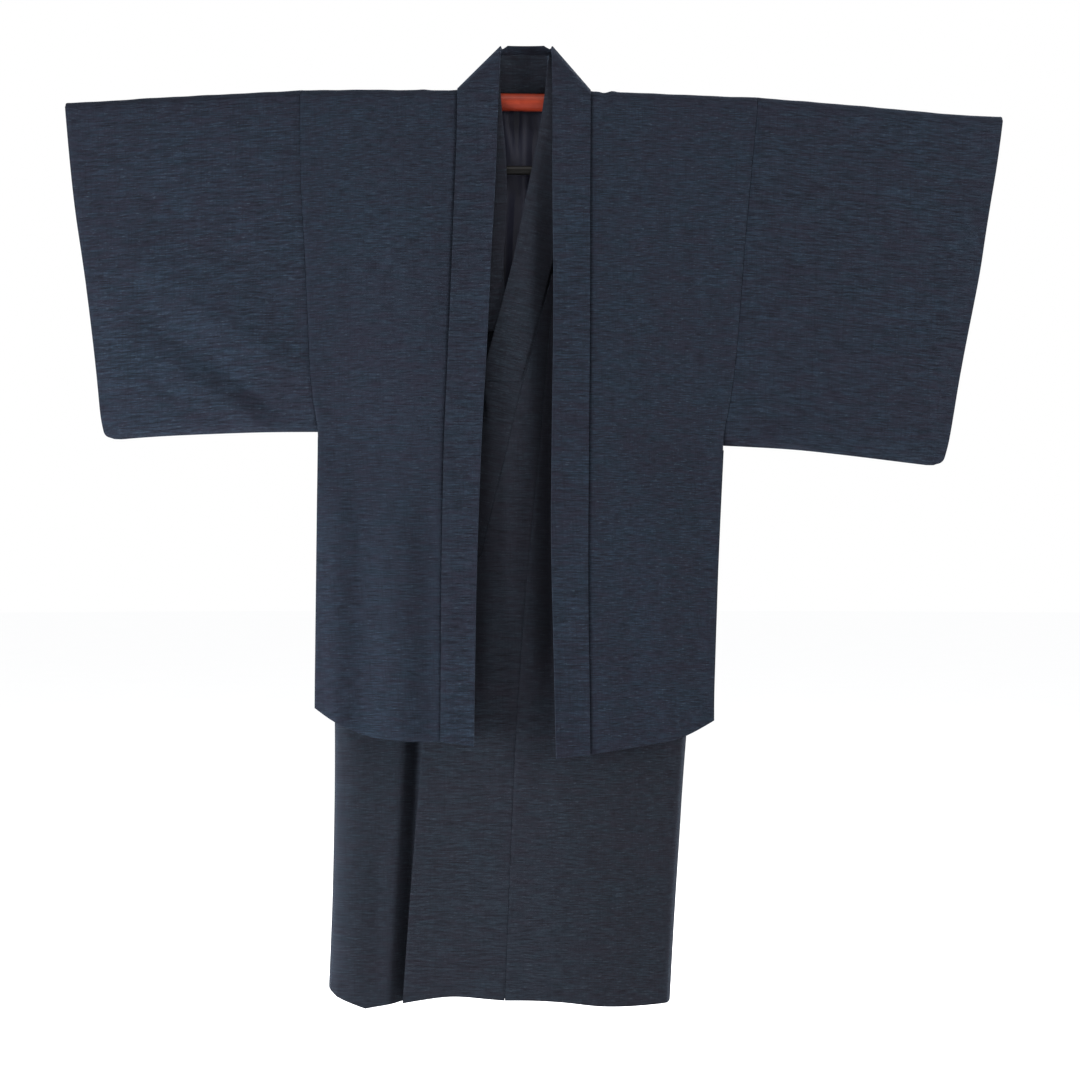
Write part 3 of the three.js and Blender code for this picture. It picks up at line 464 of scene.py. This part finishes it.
def folded(points, garment):
    """Moves the places of a panel, in millimetres, out by their creases."""
    x, y, z = points.T.copy()
    side = np.clip(y / 8, -1, 1)
    hanging = smooth((-18 - z) / 60)
    skirt = smooth((SKIRT_LEVEL - z) / 120)
    front = raised(FRONT_CREASES, x, z) + wavering(x, z, 0.4)
    back = raised(BACK_CREASES, x, z) + wavering(x, z, 2.1)
    if garment == "haori":
        front = front + skirt * raised(HAORI_CREASES, x, z)
        back = back + skirt * CALMER * raised(BACK_SKIRT_CREASES, x, z)
    else:
        front = front * (1 - CALMER * skirt) + skirt * raised(KIMONO_CREASES, x, z)
        front = front + raised(CHEST_CREASES, x, z)
        back = back * (1 - CALMER * skirt) + skirt * raised(BACK_SKIRT_CREASES, x, z)
    ripple = 0.5 * np.sin(x / 9.0) * np.sin(x / 31.0 + 1) + 0.5 * np.sin(x / 57.0)
    dents = sum(height * np.exp(-(((x - at) / half) ** 2)) for at, height, half in SHOULDER_DENTS)
    top = smooth((z + 40) / 40) * smooth((np.abs(x) - 100) / 12)
    closing = SEAM_CLOSES * np.sign(x) * np.clip(1 - np.abs(x) / SEAM_REACH, 0, 1)
    moved = points.copy()
    moved[:, 0] -= np.where((y > 8) & (z < 0), closing, 0)
    moved[:, 1] += np.where(side < 0, front, back) * side * hanging
    moved[:, 2] += top * (0.6 * ripple + dents)
    return moved


# %% [markdown]
# ## Where one layer leaves the other
# The wearer's right front lies under the left and falls back from its free edge, so a dark
# gap shows there. The collar's two crossing halves are told apart by their depth. The under
# half turns its free edge inwards, where it catches light, and the haori's collar rolls out
# at its free edge. The neck's lining is drawn into upright creases, and the closed sleeve
# ends get small round corners.

# %% Layers that part
# Rows of height and the place that goes with it, in millimetres
HALFWAY = ((-660, 30.2), (-482, 25), (-448, 24), (-329, 20.6), (-217, 17.8), (-150, 16.2))
UNDER_EDGE = ((-285, -30), (-230, -30), (-172, -25), (-117, -23), (-60, -27))
HAORI_EDGES = {
    -1: ((-945, -71), (-626, -65.7), (-301, -50.4), (-161, -43.6), (0, -36.7)),
    1: ((-945, 47), (-650, 38.8), (-301, 43.3), (-161, 41.9), (0, 40.9)),
}
COLLAR_TURNS = -25
HALVES_CROSS = -150
TURNED_IN = 5.5
ROLLED_OUT = 3.5
BACK_BAND_UP = 4.2
LINING_UP = 5


def table(rows, z):
    return np.interp(z, *zip(*rows))


def fallen_back(points):
    x, y, z = points.T
    moved = points.copy()
    moved[:, 1] -= np.where(y < 0, raised(UNDER_HOLLOWS, x, z), 0)
    return moved


def crossed_band(points):
    x, y, z = points.T
    lower = np.where(z > HALVES_CROSS, x < -4, -y < table(HALFWAY, z))
    under = (y < 0) & (z < COLLAR_TURNS) & lower
    inwards = np.clip(1 - (table(UNDER_EDGE, z) - x) / 9, 0, 1) ** 2
    inwards = inwards * smooth((z + 320) / 50) * smooth((-70 - z) / 40)
    moved = points.copy()
    moved[:, 1] += np.where(under, TURNED_IN * inwards - raised(UNDER_HOLLOWS, x, z), 0)
    return moved


def rolled_band(points):
    moved = points.copy()
    for side, edge in HAORI_EDGES.items():
        x, y, z = moved.T.copy()
        near = np.clip(1 - (x * side - table(edge, z) * side) / 30, 0, 1) ** 2
        front = (y < 0) & (x * side > 0)
        moved[:, 1] -= np.where(front, ROLLED_OUT * near * smooth((-40 - z) / 80), 0)
    moved[:, 2] += BACK_BAND_UP * smooth((moved[:, 1] - 4) / 8) * smooth((moved[:, 2] - 40) / 30)
    return moved


def creased_lining(points):
    moved = points.copy()
    moved[:, 1] -= raised(LINING_CREASES, points[:, 0], points[:, 2])
    moved[:, 2] += LINING_UP * smooth((points[:, 2] + 30) / 14)
    return moved


def rounder_corner(side, low):
    """Fills the cut-off lower corner of a sleeve out to a small round one."""

    def shape(points):
        x, _, z = points.T
        full = np.exp(-((np.hypot(x - side * 608, z - low - 8) / 9) ** 2))
        tip = np.exp(-((np.hypot(x - side * 597, z - low) / 6) ** 2))
        moved = points.copy()
        moved[:, 0] += side * 1.8 * full
        moved[:, 2] += 1.5 * tip - 1.6 * full
        return moved
    return shape


# %% [markdown]
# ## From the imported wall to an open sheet
# Each packed panel is a closed wall of flat faces. A rim face has one edge as short as the
# wall is thick, and a ray sent into it travels far inside the cloth before it comes out. The
# faces left over fall into two sheets. The outer one is kept, and its pairs of triangles
# become quads, which subdivide more evenly.

# %% The outer sheet of a wall
SHORT_EDGE = 2.4
LONG_WAY = 1.9
NEAR_CORNER = 0.85
JUST_INSIDE = 0.01 * MM
SAME_PLACE = 0.02 * MM
FLAP_ANGLE = math.radians(50)


def is_rim(face, tree, thickness):
    if min(edge.calc_length() for edge in face.edges) > SHORT_EDGE * thickness:
        return False
    middle = face.calc_center_median()
    for start in [middle] + [middle.lerp(corner.co, NEAR_CORNER) for corner in face.verts]:
        hit = tree.ray_cast(start - face.normal * JUST_INSIDE, -face.normal)
        if hit[0] is None or hit[3] > LONG_WAY * thickness:
            return True
    return False


def joined_faces(faces):
    """The given faces in groups that hang together."""
    left, groups = set(faces), []
    while left:
        waiting, group = [left.pop()], []
        while waiting:
            face = waiting.pop()
            group.append(face)
            beside = {other for edge in face.edges for other in edge.link_faces} & left
            left -= beside
            waiting += beside
        groups.append(group)
    return groups


def mean_reach(group):
    area = sum(face.calc_area() for face in group)
    middles = [(face.calc_center_median(), face.calc_area()) for face in group]
    return sum((abs(middle.y) + 0.2 * abs(middle.x)) * share for middle, share in middles) / area


def is_flap(face):
    """A face at a tip that hangs on by one edge or two and is bent away there."""
    bent = any(len(edge.link_faces) == 2 and edge.calc_face_angle() > FLAP_ANGLE for edge in face.edges)
    return bent and sum(edge.is_boundary for edge in face.edges) == 2


def outer_sheet(node, thickness):
    bm = bmesh.new()
    bm.from_mesh(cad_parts[node].data)
    bmesh.ops.remove_doubles(bm, verts=bm.verts, dist=SAME_PLACE)
    bm.faces.ensure_lookup_table()
    tree = BVHTree.FromBMesh(bm)
    walls = joined_faces([face for face in bm.faces if not is_rim(face, tree, thickness)])
    walls = sorted(walls, key=lambda group: -len(group))[:2]
    keep = set(max(walls, key=mean_reach))
    bmesh.ops.delete(bm, geom=[face for face in bm.faces if face not in keep], context="FACES")
    bmesh.ops.delete(bm, geom=[face for face in bm.faces if is_flap(face)], context="FACES")
    sheet = bpy.data.meshes.new(node + "_sheet")
    bm.to_mesh(sheet)
    bm.free()
    return sheet


# %% [markdown]
# ## The cloth's own coordinates
# A pattern must turn over the shoulder with the cloth. So each point stores how far it lies
# across the cloth and how far along it, in metres: down the front, round the rod and down
# the back. The depth counts across, so that the pattern also turns the sides, and a
# collar's weave turns with the collar's slope.

# %% Weave coordinates
UNDER_SLOPE = -4
ROD_DROOP = (
    (-640, -18), (-432, -4.3), (-237, 1.6), (0, 0), (193, -3.8), (340, -9.8), (524, -25), (664, -38),
)
OVER_THE_ROD = 52
TURN_RADIUS = 20


def weave_way(points, slope, shift):
    x, y, z = points.T
    axis = np.interp(x, *zip(*ROD_DROOP))
    above = np.maximum(z - axis, 0)
    turned = np.arctan2(above, -y)
    radius = np.hypot(above, y)
    over = turned * np.minimum(radius, TURN_RADIUS) + np.maximum(radius - TURN_RADIUS, 0)
    hanging = np.where(y < 0, z - axis, OVER_THE_ROD - (z - axis))
    along = np.where(z > axis, over, hanging)
    if slope:
        under = x < 26 + 0.21 * z
        tilt = np.radians(np.where(z > -20, 0, np.where(under, UNDER_SLOPE, slope)))
        across = x * np.cos(tilt) - z * np.sin(tilt)
        along = along * np.cos(tilt) + x * np.sin(tilt)
    else:
        across = x + y
    return np.stack((across, along, np.full_like(x, shift)), axis=1) * MM


# %% [markdown]
# ## A soft shell
# Subdivision rounds the flat faces off, but it would also pull in the sharp tips of the
# collars and the shut ends of the sleeves. Those get a crease, which holds them. Then the
# folds move the sheet, the haori's seams are tucked in a little, Solidify gives the cloth
# back its thickness inwards, and a small bevel rounds its cut edges. The inner side of a
# lined panel is silk, except near the hem, where the outer cloth turns in.

# %% Tools for one piece
def activate(piece):
    """Links a new piece to the scene and makes it the one that the tools work on."""
    bpy.context.scene.collection.objects.link(piece)
    bpy.ops.object.select_all(action="DESELECT")
    piece.select_set(True)
    bpy.context.view_layer.objects.active = piece


def edited(*tools):
    """Runs mesh tools, each with its settings, on all of the active piece."""
    bpy.ops.object.mode_set(mode="EDIT")
    bpy.ops.mesh.select_all(action="SELECT")
    for tool, settings in tools:
        tool(**settings)
    bpy.ops.object.mode_set(mode="OBJECT")


def applied(piece, kind, **settings):
    """Adds a modifier to the active piece, sets it and applies it."""
    modifier = piece.modifiers.new(kind.lower(), kind)
    for setting, value in settings.items():
        setattr(modifier, setting, value)
    bpy.ops.object.modifier_apply(modifier=modifier.name)


# %% Making a shell
CLOTH = 1.6
LEVELS = 3
QUAD_ANGLE = math.radians(60)
HELD_ANGLE = math.radians(42)
HELD_CORNER = math.radians(28)
EDGE_ANGLE = math.radians(60)
SMOOTH_ANGLE = math.radians(50)
EDGE_ROUND = 0.42
COLLAR_STEP = (-668, -662.5)
STEP_DOWN = 24


def eased_step(sheet):
    """Spreads the short step under the collar's end, so that it subdivides evenly."""
    for corner in sheet.vertices:
        if COLLAR_STEP[0] < corner.co.z / MM < COLLAR_STEP[1]:
            corner.co.z -= STEP_DOWN * MM


def hold_corners(sheet):
    """Marks the sharp folds and the sharp corners of the rim, so that they stay."""
    bm = bmesh.new()
    bm.from_mesh(sheet)
    edge_crease = bm.edges.layers.float.new("crease_edge")
    corner_crease = bm.verts.layers.float.new("crease_vert")
    for edge in bm.edges:
        if len(edge.link_faces) == 2 and edge.calc_face_angle() > HELD_ANGLE:
            edge[edge_crease] = 1
    for corner in bm.verts:
        rim = [edge for edge in corner.link_edges if edge.is_boundary]
        if len(rim) == 2:
            ways = [edge.other_vert(corner).co - corner.co for edge in rim]
            if ways[0].angle(-ways[1], 0) > HELD_CORNER:
                corner[corner_crease] = 1
    bm.to_mesh(sheet)
    bm.free()


def rim_corners(sheet):
    """The sheet's corners that lie on its seams and open edges."""
    sides = np.empty(len(sheet.loops), int)
    sheet.loops.foreach_get("edge_index", sides)
    ends = np.empty(len(sheet.edges) * 2, int)
    sheet.edges.foreach_get("vertices", ends)
    single = np.bincount(sides, minlength=len(sheet.edges)) == 1
    return np.unique(ends.reshape(-1, 2)[single])


def drape(sheet, garment, slope, shift, shape, tucked):
    """Stores the weave on the sheet and moves it into its folds."""
    points = np.empty(len(sheet.vertices) * 3)
    sheet.vertices.foreach_get("co", points)
    points = points.reshape(-1, 3) / MM
    weave = sheet.attributes.new("weave", "FLOAT_VECTOR", "POINT")
    weave.data.foreach_set("vector", weave_way(points, slope, shift).ravel())
    points = folded(points, garment)
    if shape:
        points = shape(points)
    if tucked:
        rim = rim_corners(sheet)
        points[rim, 1] -= tucked * np.sign(points[rim, 1])
    sheet.vertices.foreach_set("co", (points * MM).ravel())


def shell(name, node, garment, finishes, shift, thickness=CLOTH, slope=0, turn_in=None, shape=None, tucked=0):
    sheet = outer_sheet(node, thickness * MM)
    if "overlap" in node:
        eased_step(sheet)
    piece = bpy.data.objects.new(name, sheet)
    activate(piece)
    edited((bpy.ops.mesh.tris_convert_to_quads, {"face_threshold": QUAD_ANGLE, "shape_threshold": QUAD_ANGLE}))
    hold_corners(sheet)
    applied(piece, "SUBSURF", levels=LEVELS, render_levels=LEVELS, boundary_smooth="PRESERVE_CORNERS")
    drape(piece.data, garment, slope, shift, shape, tucked)
    area = sum(face.area for face in piece.data.polygons)
    for finish in finishes:
        piece.data.materials.append(finish)
    applied(
        piece, "SOLIDIFY", thickness=thickness * MM, offset=-1, use_even_offset=True,
        material_offset=len(finishes) - 1,
    )
    applied(
        piece, "BEVEL", width=EDGE_ROUND * thickness * MM, segments=2, limit_method="ANGLE",
        angle_limit=EDGE_ANGLE,
    )
    if turn_in is not None:
        for face in piece.data.polygons:
            if face.center.z / MM < turn_in:
                face.material_index = 0
    bpy.ops.object.shade_smooth_by_angle(angle=SMOOTH_ANGLE)
    triangles = sum(len(face.vertices) - 2 for face in piece.data.polygons)
    print(f"{name}: {triangles} triangles, {area:.3f} square metres of cloth")
    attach(piece, "root")
    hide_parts(node)
    return piece


WEAVE_STEP = 110


def sewn(garment, rows, first):
    """Makes one garment's pieces. Each takes a slice of the weave of its own."""
    return [
        shell(name, node, garment, finishes, WEAVE_STEP * (first + place), **more)
        for place, (name, node, finishes, more) in enumerate(rows)
    ]


# %% [markdown]
# ## Kimono
# The two body panels hang from the rod with the overlap panels sewn to their fronts. The
# collar crosses left over right, and the shorter over-collar lies on it round the neck. Each
# panel's own number shifts its weave, so that the pattern breaks at every seam.

# %% Kimono pieces
OVER_SLOPE = 13.4
THIN = 1.0
KIMONO_TURN_IN = -1262
ALL_CLOTH = (KIMONO_CLOTH,)
LINED = (KIMONO_CLOTH, LINING_SILK)
KIMONO_PIECES = [
    # name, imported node, finishes, then what differs from a plain panel
    ("kimono_right_panel", "kimono_body_right", LINED, {"turn_in": KIMONO_TURN_IN, "shape": fallen_back}),
    ("kimono_left_panel", "kimono_body_left", LINED, {"turn_in": KIMONO_TURN_IN}),
    ("kimono_right_overlap", "kimono_overlap_right", LINED, {"turn_in": KIMONO_TURN_IN, "shape": fallen_back}),
    ("kimono_left_overlap", "kimono_overlap_left", LINED, {"turn_in": KIMONO_TURN_IN}),
    ("kimono_neckband", "kimono_collar", ALL_CLOTH, {"slope": OVER_SLOPE, "shape": crossed_band}),
    ("kimono_over_collar_band", "kimono_over_collar", ALL_CLOTH, {"thickness": THIN, "slope": OVER_SLOPE}),
    ("kimono_neck_lining", "kimono_back_lining", (LINING_SILK,), {"thickness": THIN, "shape": creased_lining}),
    ("kimono_right_sleeve", "kimono_sleeve_right", LINED, {}),
    ("kimono_left_sleeve", "kimono_sleeve_left", LINED, {}),
]
kimono = sewn("kimono", KIMONO_PIECES, 0)
print("kimono pieces:", len(kimono))

# %% [markdown]
# ## Haori
# The coat lies over the kimono with its fronts open. One long collar runs from hem to hem
# round the neck, and a narrow gusset closes each side under the sleeve.

# %% Haori pieces
HAORI_LINED = (HAORI_CLOTH, LINING_SILK)
HAORI_TURN_IN = -858
COLLAR_CLOTH = 2.0
TUCKED = 0.9
RIGHT_CORNER = rounder_corner(-1, -491.8)
LEFT_CORNER = rounder_corner(1, -529.8)
HAORI_PIECES = [
    # name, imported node, finishes, then what differs from a plain panel
    ("haori_right_panel", "haori_body_right", HAORI_LINED, {"turn_in": HAORI_TURN_IN, "tucked": TUCKED}),
    ("haori_left_panel", "haori_body_left", HAORI_LINED, {"turn_in": HAORI_TURN_IN, "tucked": TUCKED}),
    ("haori_right_gusset", "haori_gusset_right", HAORI_LINED, {}),
    ("haori_left_gusset", "haori_gusset_left", HAORI_LINED, {}),
    ("haori_neckband", "haori_collar", (HAORI_CLOTH,), {"thickness": COLLAR_CLOTH, "shape": rolled_band}),
    ("haori_right_sleeve", "haori_sleeve_right", HAORI_LINED, {"tucked": TUCKED, "shape": RIGHT_CORNER}),
    ("haori_left_sleeve", "haori_sleeve_left", HAORI_LINED, {"tucked": TUCKED, "shape": LEFT_CORNER}),
]
haori = sewn("haori", HAORI_PIECES, len(kimono))
print("haori pieces:", len(haori))

# %% [markdown]
# ## The hanger
# The rod and the bar are hard, so their packed forms are right. A merged copy of each takes
# smooth shading and a small bevel at its ends.


# %% Hanger pieces
END_ROUND = 0.8
HARD_ANGLE = math.radians(40)


def painted(name, node, finish):
    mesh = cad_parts[node].data.copy()
    piece = bpy.data.objects.new(name, mesh)
    activate(piece)
    edited((bpy.ops.mesh.remove_doubles, {"threshold": SAME_PLACE}), (bpy.ops.mesh.tris_convert_to_quads, {}))
    applied(
        piece, "BEVEL", width=END_ROUND * MM, segments=3, limit_method="ANGLE", angle_limit=EDGE_ANGLE,
    )
    bpy.ops.object.shade_smooth_by_angle(angle=HARD_ANGLE)
    mesh.materials.clear()
    mesh.materials.append(finish)
    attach(piece, "root")
    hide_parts(node)
    return piece


painted("lacquered_rod", "hanger_rod", ROD_PAINT)
BAR_PIECES = (
    ("lower_bar", "hanger_lower_bar"),
    ("right_bar_link", "hanger_link_right"),
    ("left_bar_link", "hanger_link_left"),
)
for name, node in BAR_PIECES:
    painted(name, node, BAR_PAINT)
print("hanger pieces:", 1 + len(BAR_PIECES))

# %% [markdown]
# ## What each cloth was cut to
# Every piece of a kimono is cut straight across a narrow bolt and folded over at the
# shoulder. The table gives the width and length that show once it is sewn, and the area where
# the panel isn't a plain rectangle. A body panel runs from its front hem over the rod to its
# back hem, and a sleeve's width runs once round it.

# %% Sheets
SHEETS = {
    # width, length, area, what it hangs on, slot
    "kimono_right_panel": (0.30, 2.66, 0.67, "lacquered_rod", "kimono_cloth"),
    "kimono_left_panel": (0.31, 2.66, 0.73, "lacquered_rod", "kimono_cloth"),
    "kimono_right_overlap": (0.152, 1.09, 0.102, "kimono_right_panel", "kimono_cloth"),
    "kimono_left_overlap": (0.152, 1.09, 0.104, "kimono_left_panel", "kimono_cloth"),
    "kimono_neckband": (0.070, 1.58, 0.097, "kimono_left_panel", "kimono_cloth"),
    "kimono_over_collar_band": (0.066, 1.00, 0.058, "kimono_neckband", "kimono_cloth"),
    "kimono_neck_lining": (0.20, 0.41, 0.081, "kimono_left_panel", "lining_cloth"),
    "kimono_right_sleeve": (0.98, 0.345, 0.33, "lacquered_rod", "kimono_cloth"),
    "kimono_left_sleeve": (1.02, 0.36, 0.355, "lacquered_rod", "kimono_cloth"),
    "haori_right_panel": (0.305, 1.87, 0.48, "kimono_right_panel", "haori_cloth"),
    "haori_left_panel": (0.305, 1.87, 0.48, "kimono_left_panel", "haori_cloth"),
    "haori_right_gusset": (0.085, 0.44, 0.018, "haori_right_panel", "haori_cloth"),
    "haori_left_gusset": (0.085, 0.44, 0.018, "haori_left_panel", "haori_cloth"),
    "haori_neckband": (0.066, 2.16, 0.121, "haori_left_panel", "haori_cloth"),
    "haori_right_sleeve": (1.02, 0.35, 0.34, "kimono_right_sleeve", "haori_cloth"),
    "haori_left_sleeve": (1.06, 0.37, 0.37, "kimono_left_sleeve", "haori_cloth"),
}
for piece in (*kimono, *haori):
    width, length, area, carrier, slot = SHEETS[piece.name]
print("sheets declared:", len(SHEETS))
